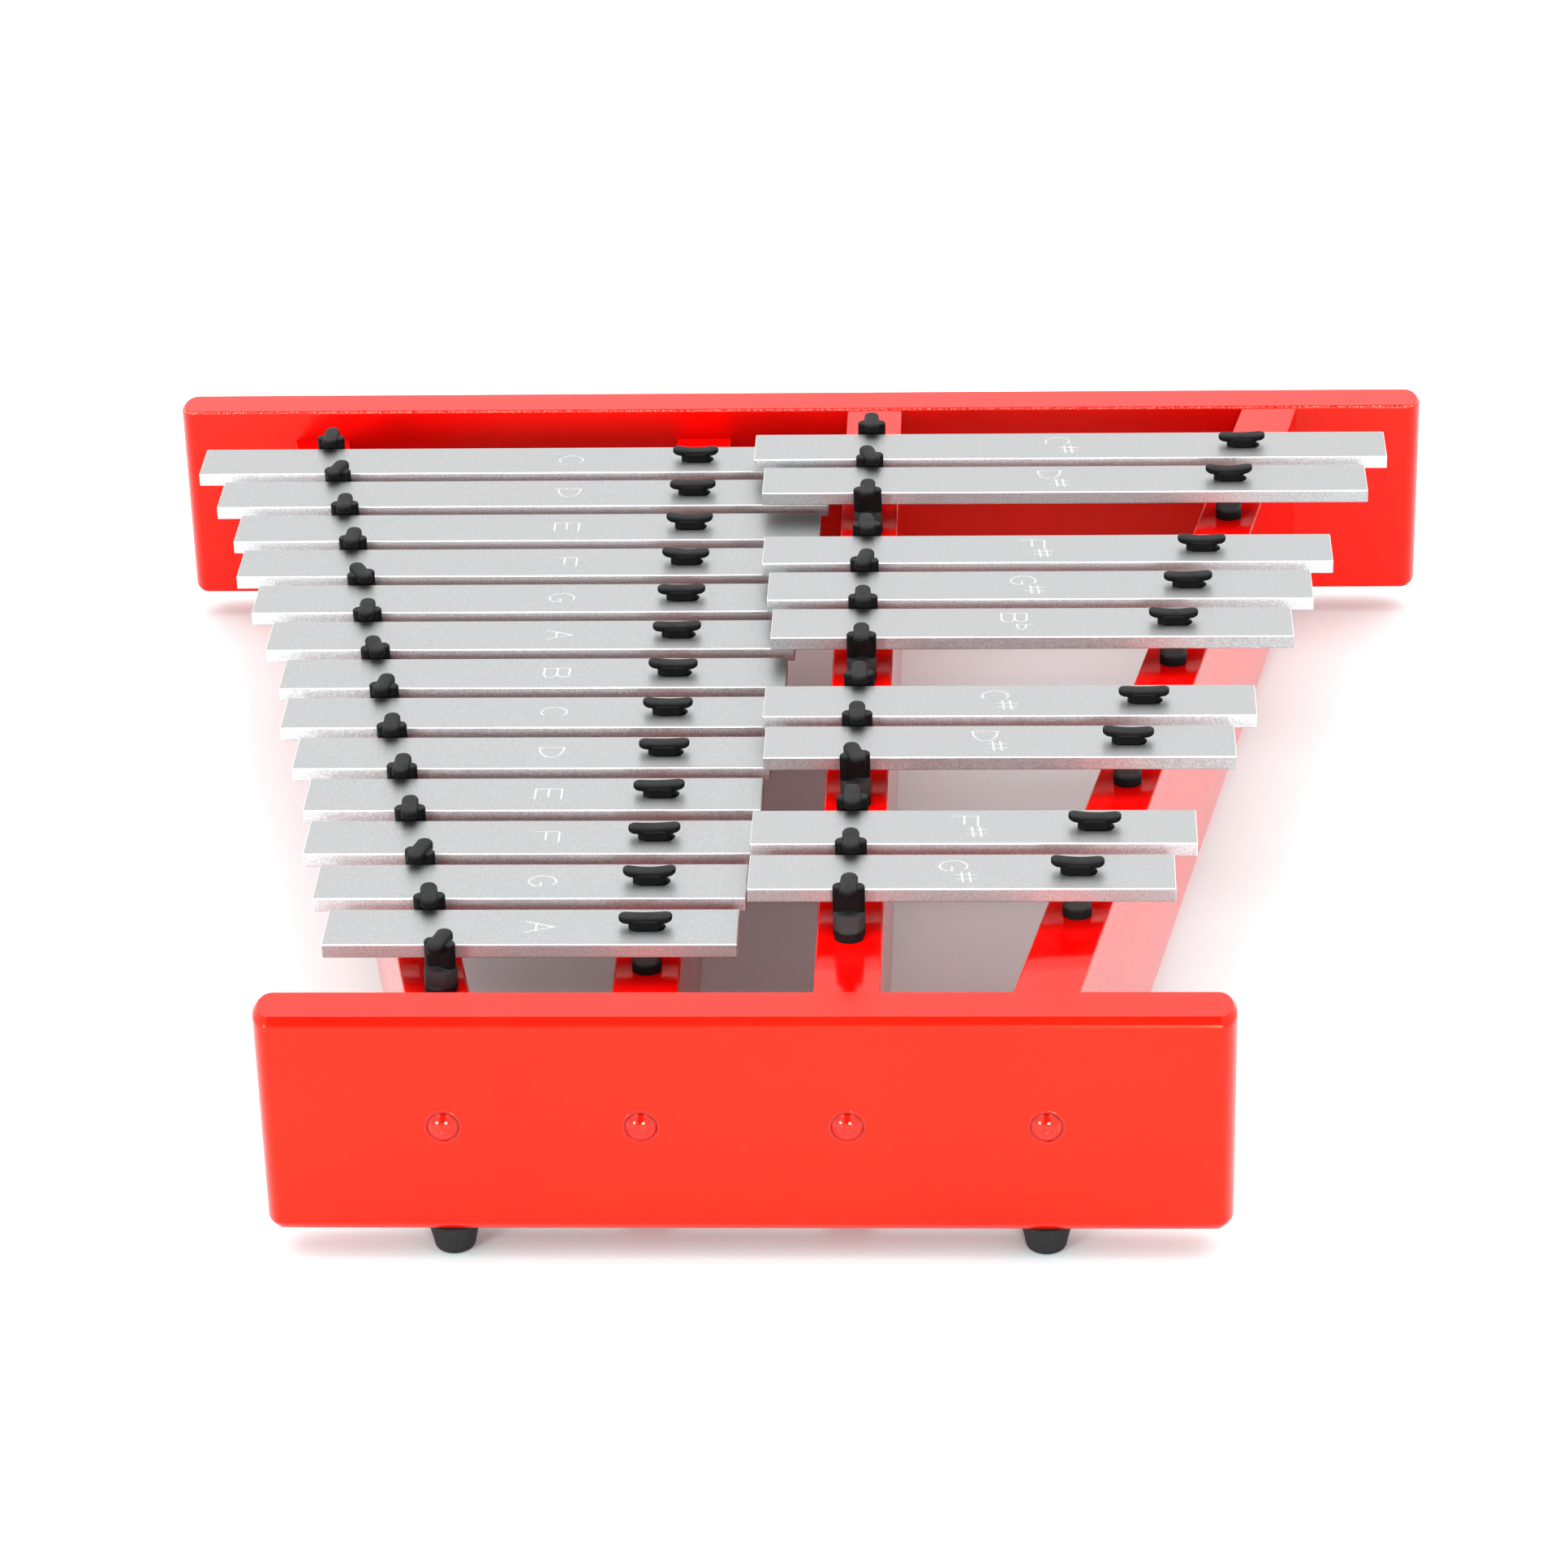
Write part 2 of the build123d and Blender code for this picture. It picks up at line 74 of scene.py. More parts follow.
def ring_loft(rings):
    """Vertices and faces of a closed tube through rings of equal point counts, capped at both ends."""
    count = len(rings[0])
    verts = [tuple(p) for ring in rings for p in ring]
    faces = walls(len(rings), count)
    faces.append(tuple(reversed(range(count))))
    faces.append(tuple((len(rings) - 1) * count + i for i in range(count)))
    return verts, faces


def mesh_from(parts, name):
    """One mesh of several (vertices, faces) parts."""
    verts, faces = [], []
    for part_verts, part_faces in parts:
        start = len(verts)
        verts += part_verts
        faces += [tuple(start + i for i in f) for f in part_faces]
    mesh = bpy.data.meshes.new(name)
    mesh.from_pydata(verts, [], faces)
    mesh.validate()
    bm = bmesh.new()
    bm.from_mesh(mesh)
    bmesh.ops.recalc_face_normals(bm, faces=bm.faces)
    bm.to_mesh(mesh)
    bm.free()
    return mesh


def add_object(mesh, name):
    piece = bpy.data.objects.new(name, mesh)
    bpy.context.scene.collection.objects.link(piece)
    return piece


def evaluated(mesh, name, modifiers):
    """The mesh after a list of (type, settings) modifiers."""
    piece = add_object(mesh, name + "_work")
    for kind, settings in modifiers:
        modifier = piece.modifiers.new(kind.lower(), kind)
        for key, value in settings.items():
            setattr(modifier, key, value)
    bpy.context.view_layer.update()
    graph = bpy.context.evaluated_depsgraph_get()
    result = bpy.data.meshes.new_from_object(piece.evaluated_get(graph))
    result.name = name
    bpy.data.objects.remove(piece)
    return result


def moulded(parts, name, voxel=0.13, smoothing=1, keep=0.25):
    """Parts in millimetres fused into one skin with soft joins, as a rubber moulding has."""
    mesh = mesh_from(parts, name + "_parts")
    return evaluated(mesh, name, [
        ("REMESH", {"mode": "VOXEL", "voxel_size": voxel}),
        ("SMOOTH", {"factor": 0.5, "iterations": smoothing}),
        ("DECIMATE", {"ratio": keep}),
    ])


def gather(copies, name):
    """One mesh of (mesh, matrix) copies."""
    bm = bmesh.new()
    for mesh, matrix in copies:
        part = mesh.copy()
        part.transform(matrix)
        bm.from_mesh(part)
        bpy.data.meshes.remove(part)
    mesh = bpy.data.meshes.new(name)
    bm.to_mesh(mesh)
    bm.free()
    return mesh


def stadium(length_x, length_y, z, count=40, inset=0.0):
    """A ring at height z: a rectangle with fully round ends along its longer side."""
    a, b = length_x / 2 - inset, length_y / 2 - inset
    r = min(a, b)
    points = []
    for i in range(count):
        t = TURN * (i + 0.5) / count
        c, s = math.cos(t), math.sin(t)
        x = math.copysign(a - r, c) + r * c if a > b else a * c
        y = math.copysign(b - r, s) + r * s if b > a else b * s
        points.append((x, y, z))
    return points


def draw_waves(chance, slow, fast, count=6):
    """Random (rate, shift, size) of sine waves that make a hand-finished edge uneven."""
    return [(chance.uniform(slow, fast), chance.uniform(0, 6.28), chance.uniform(0.2, 1))
            for _ in range(count)]


def ripple(waves, at, offset=0):
    """Height of the waves at a place."""
    return sum(size * math.sin(at * rate + shift + offset) for rate, shift, size in waves)


def corners_of(node):
    """The low and the high corner of a CAD node's box."""
    return (Vector(corner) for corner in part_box(node))


def points_of(node):
    """A CAD node's vertices in metres, one row each."""
    return np.array([v.co for v in nodes[node].data.vertices])


def split_at_gaps(points, axis, gap=5 * MM):
    """The copies in a group: its points, sorted along an axis and parted where nothing is."""
    points = points[np.argsort(points[:, axis])]
    return np.split(points, np.nonzero(np.diff(points[:, axis]) > gap)[0] + 1)


def middle_of(values):
    return (values.min() + values.max()) / 2


def tag(mesh, name, values):
    """A number for each vertex, which a material reads by name."""
    mesh.attributes.new(name, "FLOAT", "POINT").data.foreach_set("value", values)


def dress(piece, mat):
    piece.data.materials.clear()
    piece.data.materials.append(mat)


def finish_piece(mesh, name, mat, node, sharp=None):
    """A smooth piece of the frame in place of a CAD node; sharp is the angle of edges kept crisp."""
    mesh.polygons.foreach_set("use_smooth", [True] * len(mesh.polygons))
    if sharp:
        mesh.set_sharp_from_angle(angle=math.radians(sharp))
    piece = add_object(mesh, name)
    dress(piece, mat)
    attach(piece, "frame")
    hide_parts(node)


# ---------------------------------------------------------------- shader helpers


def material(name, settings):
    """A Principled material with its tree and shader; settings are values for the shader's sockets."""
    mat = bpy.data.materials.new(name)
    mat.use_nodes = True
    tree = mat.node_tree
    shader = tree.nodes["Principled BSDF"]
    for socket, value in settings.items():
        shader.inputs[socket].default_value = value
    return mat, tree, shader


def place(tree, scale=(1, 1, 1)):
    """Object coordinates in metres, stretched by scale."""
    coords = tree.nodes.new("ShaderNodeTexCoord")
    mapping = tree.nodes.new("ShaderNodeMapping")
    mapping.inputs["Scale"].default_value = scale
    tree.links.new(coords.outputs["Object"], mapping.inputs["Vector"])
    return mapping.outputs["Vector"]


def components(tree, vector):
    node = tree.nodes.new("ShaderNodeSeparateXYZ")
    tree.links.new(vector, node.inputs["Vector"])
    return node.outputs


def normal(tree):
    """The components of the surface's normal."""
    return components(tree, tree.nodes.new("ShaderNodeNewGeometry").outputs["Normal"])


def noise(tree, vector, scale, detail=2.0, roughness=0.5):
    node = tree.nodes.new("ShaderNodeTexNoise")
    node.inputs["Scale"].default_value = scale
    node.inputs["Detail"].default_value = detail
    node.inputs["Roughness"].default_value = roughness
    tree.links.new(vector, node.inputs["Vector"])
    return node.outputs["Fac"]


def tagged(tree, name):
    """The number that tag() gave each vertex."""
    node = tree.nodes.new("ShaderNodeAttribute")
    node.attribute_name = name
    return node.outputs["Fac"]


def spread(tree, value, from_low, from_high, to_low=0, to_high=1):
    """The value carried from one range to another, and held at its ends."""
    node = tree.nodes.new("ShaderNodeMapRange")
    for socket, number in zip(("From Min", "From Max", "To Min", "To Max"),
                              (from_low, from_high, to_low, to_high)):
        node.inputs[socket].default_value = number
    tree.links.new(value, node.inputs["Value"])
    return node.outputs["Result"]


def calculate(tree, operation, *values):
    node = tree.nodes.new("ShaderNodeMath")
    node.operation = operation
    for socket, value in zip(node.inputs, values):
        if isinstance(value, (int, float)):
            socket.default_value = value
        else:
            tree.links.new(value, socket)
    return node.outputs["Value"]


def times(tree, a, b):
    return calculate(tree, "MULTIPLY", a, b)


def plus(tree, a, b):
    return calculate(tree, "ADD", a, b)


def blend_colour(tree, factor, low, high):
    node = tree.nodes.new("ShaderNodeMix")
    node.data_type = "RGBA"
    tree.links.new(factor, node.inputs["Factor"])
    for socket, value in (("A", low), ("B", high)):
        target = [s for s in node.inputs if s.name == socket and s.type == "RGBA"][0]
        if isinstance(value, tuple):
            target.default_value = (*value, 1)
        else:
            tree.links.new(value, target)
    return [s for s in node.outputs if s.type == "RGBA"][0]


def bump(tree, height, distance, strength, below=None):
    node = tree.nodes.new("ShaderNodeBump")
    node.inputs["Strength"].default_value = strength
    node.inputs["Distance"].default_value = distance
    tree.links.new(height, node.inputs["Height"])
    if below is not None:
        tree.links.new(below, node.inputs["Normal"])
    return node.outputs["Normal"]


# ---------------------------------------------------------------- materials

# texture scales, in features per metre
CLOUDS, WOOD_GRAIN, ORANGE_PEEL, PAINT_SPECKS, DASHES, CHIP_EDGES = 22, 420, 650, 3600, 2400, 2600
BLAST_GRAIN, CUT_GRAIN, TONE_DRIFT, DRAWN_LINES = 3600, 1900, 30, 2500
# the second number sets the size of the patches of painted light on rubber that faces up
RUBBER_SPECKS, TOP_LIGHT_PATCHES = 3000, 420

# relief heights
GRAIN_RELIEF, PEEL_RELIEF, BEAD_RELIEF, PAINT_RELIEF = 0.06 * MM, 0.10 * MM, 0.12 * MM, 0.02 * MM
BLAST_RELIEF, CUT_RELIEF, RUBBER_RELIEF = 0.02 * MM, 0.08 * MM, 0.04 * MM

# roughness, lowest and highest
PANEL_GLOSS, RAIL_GLOSS, CAP_GLOSS, BEAD_ROUGHER = (0.18, 0.30), (0.05, 0.14), (0.05, 0.10), 0.2
BLAST_ROUGH, CUT_ROUGHER, STEEL_ROUGH, RUBBER_ROUGH = (0.41, 0.47), 0.08, (0.28, 0.42), (0.42, 0.62)

ENAMEL_IOR = RUBBER_IOR = 1.5
RUBBER_SPECULAR = 0.10
GRAIN_STRETCH = 0.07       # texture scale along the wood's grain; across it is 1
DASH_STRETCH = 0.8         # the same for the beads of paint along an edge
STOCK_STRETCH = 0.15       # and for the slow change of tone along a bar
WIRE_STRETCH = 0.1         # and for the lines drawn into nails and screws
# painted highlight: the pale pink on beads of paint along tagged edges, where they catch the light
BEAD_HIGHLIGHT_PINK = (0.86, 0.36, 0.26)
# painted shade: the dark red laid in the crease round each cap
CREASE_SHADE_RED = (0.24, 0.002, 0.001)
CHIP_BROWN = (0.10, 0.06, 0.05)
# one red paint, painted in copies for how light falls on it: the lit small panel and the caps darker,
# the shaded large panel lighter, and the rails, in shade under the bars, lightest; the large panel's
# copy also reflects with its own tint
LIT_PANEL_REDS = ((0.58, 0.0045, 0.0012), (0.66, 0.0080, 0.0022))    # darkest and lightest
SHADED_PANEL_REDS = ((0.70, 0.0008, 0.0005), (0.80, 0.0018, 0.0010))
SHADED_RAIL_REDS = ((0.90, 0.0006, 0.0004), (0.98, 0.0014, 0.0008))
SHEEN, SHADED_PANEL_SHEEN, CAP_SHEEN = (1.0, 0.56, 0.34), (1.0, 0.60, 0.40), (1.0, 0.86, 0.74)
# painted shade: the rails' upright sides darker than their tops, as a share
RAIL_SIDE_SHADE = 0.68

TOP_GREYS = ((0.316, 0.320, 0.323), (0.426, 0.430, 0.433))
SIDE_GREYS = ((0.42, 0.43, 0.435), (0.62, 0.63, 0.635))
# painted highlight: the pale greys of the stamped strokes, paler on their walls than on their floors
STROKE_FLOOR_HIGHLIGHT, STROKE_WALL_HIGHLIGHT = (0.60, 0.60, 0.60), (0.93, 0.93, 0.93)
STROKE_MIDDLE, STROKE_REACH = 0.14 * MM, 0.12 * MM    # the stamped strokes, below a bar's top
HIDDEN_FRONT_PAINTED_LIGHT, OPEN_FRONT_PAINTED_SHADE = 1.25, 0.84              # the sides that face -Y, against the others: lighter where another bar stands close in front, a painted light, and darker where none does, a painted shade
# no other bar stands close in front of these
OPEN_BARS = ("bar_a6", "bar_d_sharp_5", "bar_b_flat_5", "bar_d_sharp_6", "bar_g_sharp_6")

POST_BLACKS = ((0.0010, 0.0010, 0.0012), (0.0040, 0.0040, 0.0044))
FOOT_BLACKS = ((0.010, 0.010, 0.0105), (0.026, 0.026, 0.027))
# painted light: a pale grey mixed in patches into rubber that faces up, as light from above falls on it;
# the shares for posts and for the panels' feet follow
TOP_LIGHT_GREY = (0.105, 0.105, 0.108)
POST_TOP_LIGHT, FOOT_TOP_LIGHT = 0.17, 0.03
SCOOP_LIGHT = 0.30                                 # painted light on the foot of a post, below its seat, where its hollowed skirt faces up into the light
BAND_TOP = (0.9 * MM, 0.1 * MM)                  # where it fades out, below the seat
BAND_LOW = (4.9 * MM, 4.2 * MM)                  # and where it fades in
STEEL_GREYS = ((0.45, 0.45, 0.46), (0.62, 0.62, 0.60))


def red_paint(name, grain_axis, gloss, reds, sheen=SHEEN, upright=1.0):
    """Glossy red enamel over wood: faint grain, orange peel, and beads of paint on tagged edges, with a
    pale painted highlight on the beads.

    gloss is the lowest and highest roughness, sheen the colour of the reflections and upright
    the tone of upright faces, as a share of those that face up, a painted shade on the sides.
    """
    mat, tree, shader = material(name, {"IOR": ENAMEL_IOR, "Specular Tint": (*sheen, 1.0)})
    plain = place(tree)
    along = place(tree, tuple(GRAIN_STRETCH if axis == grain_axis else 1.0 for axis in (X, Y, Z)))
    dashed = place(tree, tuple(DASH_STRETCH if axis == grain_axis else 1.0 for axis in (X, Y, Z)))
    cloud = noise(tree, plain, CLOUDS, 3)
    grain = noise(tree, along, WOOD_GRAIN, 4, 0.6)
    peel = noise(tree, plain, ORANGE_PEEL, 1.5)
    fine = noise(tree, plain, PAINT_SPECKS, 2, 0.6)
    dashes = noise(tree, dashed, DASHES, 3, 0.7)
    shade = plus(tree, times(tree, cloud, 0.6), times(tree, fine, 0.4))
    tone = blend_colour(tree, spread(tree, shade, 0.3, 0.7), *reds)
    # painted shade: faces that stand upright get a darker red than those that face up
    if upright < 1:
        facing_up = calculate(tree, "ABSOLUTE", normal(tree)["Z"])
        shaded_side_red = tuple(upright * (dark + light) / 2 for dark, light in zip(*reds))
        tone = blend_colour(tree, spread(tree, facing_up, 0.3, 0.7, 1, 0), tone, shaded_side_red)
    # beads of paint on tagged edges: real relief and roughness, and a pale painted highlight in their
    # colour
    bead_and_glint = times(tree, spread(tree, tagged(tree, "edge"), 0.35, 0.8), spread(tree, dashes, 0.47, 0.60))
    painted = blend_colour(tree, times(tree, bead_and_glint, 0.8), tone, BEAD_HIGHLIGHT_PINK)
    tree.links.new(painted, shader.inputs["Base Color"])
    low, high = gloss
    rough = plus(tree, times(tree, cloud, high - low), low)
    tree.links.new(plus(tree, rough, times(tree, bead_and_glint, BEAD_ROUGHER)), shader.inputs["Roughness"])
    under = bump(tree, grain, GRAIN_RELIEF, 0.3)
    skin = bump(tree, peel, PEEL_RELIEF, 0.25, under)
    beads = bump(tree, bead_and_glint, BEAD_RELIEF, 0.8, skin)
    tree.links.new(bump(tree, fine, PAINT_RELIEF, 0.3, beads), shader.inputs["Normal"])
    return mat


def chipped(mat):
    """The caps' paint: painted shade, a dark red, in the crease round a cap, and scraped through where
    it is chipped.
    """
    tree = mat.node_tree
    colour = tree.nodes["Principled BSDF"].inputs["Base Color"]
    paint = colour.links[0].from_socket
    ragged = times(tree, tagged(tree, "chip"), noise(tree, place(tree), CHIP_EDGES, 3, 0.7))
    scraped = spread(tree, ragged, 0.28, 0.45, 0, 0.8)
    # painted shade in the crease round each cap
    shaded = blend_colour(tree, times(tree, tagged(tree, "crease"), 0.9), paint, CREASE_SHADE_RED)
    tree.links.new(blend_colour(tree, scraped, shaded, CHIP_BROWN), colour)
    return mat


def satin_metal(name, top, front):
    """Blasted and anodised bar stock: satin tops, coarser grain where the bar was cut, and stamped
    strokes painted pale as a highlight, palest on their walls.

    top is the height of the bars' upper faces, front the tone of the sides that face -Y, as a
    share of the other sides, painted for how much light reaches them.
    """
    mat, tree, shader = material(name, {"Metallic": 1.0})
    plain = place(tree)
    along = place(tree, (STOCK_STRETCH, 1.0, 1.0))
    facing = normal(tree)
    facing_up = calculate(tree, "ABSOLUTE", facing["Z"])
    side = spread(tree, facing_up, 0.35, 0.75, 1, 0)
    height = components(tree, plain)["Z"]
    stroke = calculate(tree, "COMPARE", height, top - STROKE_MIDDLE, STROKE_REACH)
    grain = noise(tree, plain, BLAST_GRAIN, 2, 0.6)
    coarse = noise(tree, plain, CUT_GRAIN, 3, 0.7)
    drift = noise(tree, along, TONE_DRIFT, 2)
    top_tone = blend_colour(tree, spread(tree, grain, 0.35, 0.65), *TOP_GREYS)
    side_tone = tree.nodes.new("ShaderNodeVectorMath")
    side_tone.operation = "SCALE"
    tree.links.new(blend_colour(tree, spread(tree, coarse, 0.35, 0.65), *SIDE_GREYS),
                   side_tone.inputs["Vector"])
    # painted light and shade on the sides that face -Y
    tree.links.new(spread(tree, facing["Y"], -0.5, -0.8, 1, front), side_tone.inputs["Scale"])
    tone = blend_colour(tree, side, top_tone, side_tone.outputs["Vector"])
    # painted highlight in the stamped strokes
    stroke_highlight = blend_colour(tree, spread(tree, facing_up, 0.5, 0.95), STROKE_WALL_HIGHLIGHT, STROKE_FLOOR_HIGHLIGHT)
    tree.links.new(blend_colour(tree, stroke, tone, stroke_highlight), shader.inputs["Base Color"])
    rough = plus(tree, spread(tree, drift, 0.3, 0.7, *BLAST_ROUGH), times(tree, side, CUT_ROUGHER))
    tree.links.new(rough, shader.inputs["Roughness"])
    fine = bump(tree, grain, BLAST_RELIEF, 0.5)
    tree.links.new(bump(tree, times(tree, coarse, side), CUT_RELIEF, 0.8, fine), shader.inputs["Normal"])
    return mat


def black_rubber(name, blacks, top_light, seat=None):
    """Moulded rubber with a fine speckle, and a pale grey painted in patches on what faces up, as light
    from above.

    With the height of a seat, the foot below the seat gets painted light all round.
    """
    mat, tree, shader = material(name, {"IOR": RUBBER_IOR, "Specular IOR Level": RUBBER_SPECULAR})
    plain = place(tree)
    speckle = noise(tree, plain, RUBBER_SPECKS, 3, 0.7)
    cloud = noise(tree, plain, TOP_LIGHT_PATCHES, 3)
    up = spread(tree, normal(tree)["Z"], 0.25, 0.95)
    base = blend_colour(tree, spread(tree, speckle, 0.32, 0.68), *blacks)
    # painted light: pale grey in patches on the faces that look up
    painted_light = times(tree, times(tree, up, spread(tree, cloud, 0.3, 0.7, 0.5, 1.0)), top_light)
    if seat is not None:
        # painted light on the foot's skirt, fading in above the rim and out below the seat
        height = components(tree, plain)["Z"]
        below = spread(tree, height, seat - BAND_TOP[0], seat - BAND_TOP[1], SCOOP_LIGHT, 0)
        above = spread(tree, height, seat - BAND_LOW[0], seat - BAND_LOW[1], 0.1, 1)
        painted_light = plus(tree, painted_light, times(tree, below, above))
    tree.links.new(blend_colour(tree, painted_light, base, TOP_LIGHT_GREY), shader.inputs["Base Color"])
    tree.links.new(spread(tree, speckle, 0.3, 0.7, *RUBBER_ROUGH), shader.inputs["Roughness"])
    tree.links.new(bump(tree, speckle, RUBBER_RELIEF, 0.8), shader.inputs["Normal"])
    return mat


def plain_steel(name):
    mat, tree, shader = material(name, {"Metallic": 1.0})
    drawn = noise(tree, place(tree, (1, 1, WIRE_STRETCH)), DRAWN_LINES, 3)
    tree.links.new(blend_colour(tree, drawn, *STEEL_GREYS), shader.inputs["Base Color"])
    tree.links.new(spread(tree, drawn, 0.3, 0.7, *STEEL_ROUGH), shader.inputs["Roughness"])
    return mat


# painted light and shade: each panel and the rails get their own copy of the one red
panel_paint = {
    "small_end_panel": red_paint("red_paint_small_panel", X, PANEL_GLOSS, LIT_PANEL_REDS),
    "large_end_panel": red_paint("red_paint_large_panel", X, PANEL_GLOSS, SHADED_PANEL_REDS, SHADED_PANEL_SHEEN),
}
rail_paint = red_paint("red_paint_rail", Y, RAIL_GLOSS, SHADED_RAIL_REDS, upright=RAIL_SIDE_SHADE)
cap_paint = chipped(red_paint("red_paint_cap", Z, CAP_GLOSS, LIT_PANEL_REDS, CAP_SHEEN))
metal, rubber = {}, {}
for kind, bar in (("natural", "bar_c5"), ("sharp", "bar_c_sharp_5")):
    seat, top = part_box(bar)[0][Z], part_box(bar)[1][Z]
    rubber[kind] = black_rubber(kind + "_rubber", POST_BLACKS, POST_TOP_LIGHT, seat)
    metal[kind, False] = satin_metal(f"satin_metal_{kind}s", top, HIDDEN_FRONT_PAINTED_LIGHT)
    metal[kind, True] = satin_metal(f"satin_metal_{kind}s_open", top, OPEN_FRONT_PAINTED_SHADE)
foot_rubber = black_rubber("foot_rubber", FOOT_BLACKS, FOOT_TOP_LIGHT)
steel = plain_steel("zinc_steel")

# ---------------------------------------------------------------- carried-over CAD nodes

for name, node in nodes.items():
    if name.startswith("bar_"):
        kind = "sharp" if "sharp" in name or "flat" in name else "natural"
        dress(node, metal[kind, name in OPEN_BARS])
    elif name.endswith(("nails", "screws")):
        dress(node, steel)

# ---------------------------------------------------------------- end panels

PANEL_REACH = 4.0 * MM    # how far a panel's rounded ends reach past its flat faces
BEVEL = ((1.5, 0.0), (1.25, 0.28), (1.0, 0.57), (0.75, 0.87), (0.5, 1.18), (0.28, 1.52), (0.12, 1.85),
         (0.03, 2.15), (0.0, 2.4))    # how far in and how far down, in mm, from the crisp upper arris
SOFT = 0.45 * MM          # a last ring below the bevel keeps its shading off the flat face
INNER_SHARE = 0.35        # the bevel on a panel's inner face, as a share of the outer one
BEADED = (2, 3, 4, 5)     # the bevel's lines along which paint gathered in beads, each with a pale painted highlight
BEAD_WAVE = 2.2           # on the outer face, only where the edge waves this much
SINK = 0.05 * MM          # the rims are uneven by about this
PANEL_CREASE = 30         # degrees; edges that turn by more stay crisp
NO_LINE = -1


def panel_outline(half_width, half_thick):
    """Points and outward directions from above: long faces in short steps, ends as half ellipses."""
    flat = half_width - PANEL_REACH
    steps, arc = 60, 28
    points = [(flat - 2 * flat * i / steps, half_thick, 0.0, 1.0) for i in range(steps)]
    for i in range(arc):
        t = math.pi / 2 + math.pi * i / arc
        nx, ny = math.cos(t) / PANEL_REACH, math.sin(t) / half_thick
        size = math.hypot(nx, ny)
        points.append((-flat + PANEL_REACH * math.cos(t), half_thick * math.sin(t),
                       nx / size, ny / size))
    return points + [(-x, -y, -nx, -ny) for x, y, nx, ny in points]


def panel(node, name):
    """A board with bevelled rims, the upper one tagged where beads of paint sit and get a painted
    highlight.
    """
    low, high = corners_of(node)
    middle, half = (low + high) / 2, (high - low) / 2
    inward = -math.copysign(1, middle.y)
    bevel_width, bevel_drop = BEVEL[0][0], BEVEL[-1][1] * MM
    profile = [(inset * MM, drop * MM, i) for i, (inset, drop) in enumerate(BEVEL)]
    profile.append((0.0, bevel_drop + SOFT, NO_LINE))
    levels = [(1, *level) for level in profile] + [(0, 0.0, 0.0, NO_LINE)]
    levels += [(-1, *level) for level in reversed(profile)]
    waves = draw_waves(random.Random(name), 20, 160)
    rings, tags = [], []
    for side, inset, drop, line in levels:
        ring = []
        for x, y, nx, ny in panel_outline(half.x, half.y):
            inner = (1 + inward * y / half.y) / 2
            share = 1 + (INNER_SHARE - 1) * inner
            wave = ripple(waves, x, 9 if y > 0 else 0)
            sink = SINK * abs(wave) * (1 - inset / MM / bevel_width) if drop < bevel_drop else 0.0
            ring.append((middle.x + x - inset * share * nx, middle.y + y - inset * share * ny,
                         middle.z + side * (half.z - (drop + sink) * share)))
            beads = line in BEADED if inner > 0.5 else line == BEADED[0] and abs(wave) > BEAD_WAVE
            tags.append(float(side > 0 and beads))
        rings.append(ring)
    count = len(rings[0])
    faces = walls(len(rings), count)
    for start in (0, (len(rings) - 1) * count):
        for i in range(count // 2):
            ladder = (i, i + 1, count - 1 - i, (count - i) % count)
            if len(set(ladder)) > 2:
                faces.append(tuple(start + j for j in dict.fromkeys(ladder)))
    mesh = mesh_from([([p for ring in rings for p in ring], faces)], name)
    tag(mesh, "edge", tags)
    return mesh


for node in ("large_end_panel", "small_end_panel"):
    name = node + "_painted"
    finish_piece(panel(node, name), name, panel_paint[node], node, PANEL_CREASE)

# ---------------------------------------------------------------- rails

RAIL_WIDTH = 15 * MM
RAIL_EDGE = 0.6 * MM
RAIL_STEPS = 120
RAIL_WAVE = 0.008 * MM     # the rails' faces are uneven by about this
RAIL_CREASE = 40
CORNER_STEPS = 6
GLINT_STEPS, GLINT_SHARE = (2, 3, 4), 0.5    # the middle of each upper corner, and how strongly its beads of paint get the painted highlight


def rail(node, name):
    """A board of rounded section from panel to panel, skewed as its CAD node is."""
    points = points_of(node)
    low, high = points.min(axis=0), points.max(axis=0)
    near_x = middle_of(points[points[:, Y] < low[Y] + 0.1 * MM][:, X])
    far_x = middle_of(points[points[:, Y] > high[Y] - 0.1 * MM][:, X])
    section, edges = [], []
    for corner_x, corner_z, start in ((1, 1, 0.0), (-1, 1, 90.0), (-1, -1, 180.0), (1, -1, 270.0)):
        for i in range(CORNER_STEPS + 1):
            t = math.radians(start + 90 / CORNER_STEPS * i)
            section.append((corner_x * (RAIL_WIDTH / 2 - RAIL_EDGE) + RAIL_EDGE * math.cos(t),
                            corner_z * ((high[Z] - low[Z]) / 2 - RAIL_EDGE) + RAIL_EDGE * math.sin(t)))
            edges.append(float(corner_z > 0 and i in GLINT_STEPS) * GLINT_SHARE)
    middle_z = (low[Z] + high[Z]) / 2
    waves = draw_waves(random.Random(name), 30, 200)
    rings, tags = [], []
    for k in range(RAIL_STEPS + 1):
        share = k / RAIL_STEPS
        y = low[Y] + (high[Y] - low[Y]) * share
        x = near_x + (far_x - near_x) * share
        wave = RAIL_WAVE * ripple(waves, y)
        rings.append([(x + px - math.copysign(abs(wave), px) * (abs(pz) > RAIL_EDGE), y, middle_z + pz)
                      for px, pz in section])
        tags += edges
    mesh = mesh_from([ring_loft(rings)], name)
    tag(mesh, "edge", tags)
    return mesh


for node in [n for n in nodes if n.endswith("_rail")]:
    name = node + "_painted"
    finish_piece(rail(node, name), name, rail_paint, node, RAIL_CREASE)

# ---------------------------------------------------------------- screw caps on the panels

